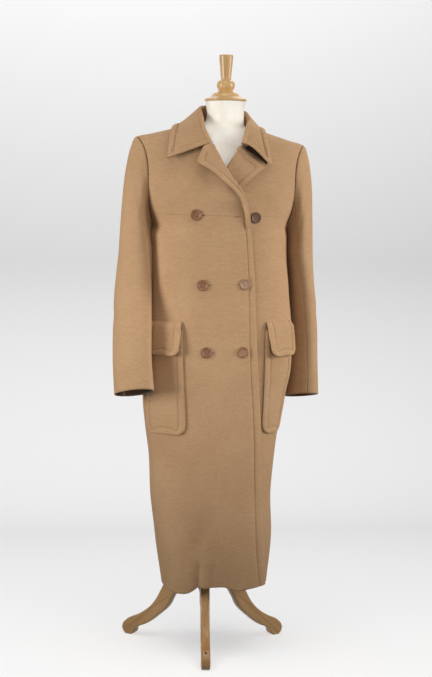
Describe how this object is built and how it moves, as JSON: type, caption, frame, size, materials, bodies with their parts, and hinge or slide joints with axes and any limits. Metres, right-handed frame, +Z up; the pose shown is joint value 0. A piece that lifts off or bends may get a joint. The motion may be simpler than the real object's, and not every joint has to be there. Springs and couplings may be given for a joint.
{
  "type": "double-breasted coat on a dress form",
  "caption": "Long double-breasted camel wool coat with notched lapels and flap patch pockets, worn by a limbless dress form with a turned neck cap and a wooden tripod stand.",
  "frame": {"origin": "on the floor, under the middle of the overall box", "axes": "+Z up, -Y the way the coat faces, +X to the wearer's left"},
  "size_m": [0.5352, 0.3965, 1.519],
  "materials": {
    "wool": "brushed camel wool cloth with a short nap",
    "button": "brown horn-look buttons, satin",
    "linen": "cream linen cover",
    "wood": "varnished beech"
  },
  "bodies": {
    "root": {"back": "wool", "front_right": "wool", "front_right_yoke": "wool", "front_left": "wool", "front_left_yoke": "wool", "lapel_right": "wool", "lapel_left": "wool", "collar": "wool", "sleeve_right_top": "wool", "sleeve_right_under": "wool", "sleeve_left_top": "wool", "sleeve_left_under": "wool", "pocket_right": "wool", "pocket_left": "wool", "flap_right": "wool", "flap_left": "wool", "button_right_top": "button", "button_right_middle": "button", "button_right_low": "button", "button_left_top": "button", "button_left_middle": "button", "button_left_low": "button", "form_torso": "linen", "neck_cap": "wood", "pole": "wood", "leg_front": "wood", "leg_left": "wood", "leg_right": "wood"}
  },
  "joints": []
}
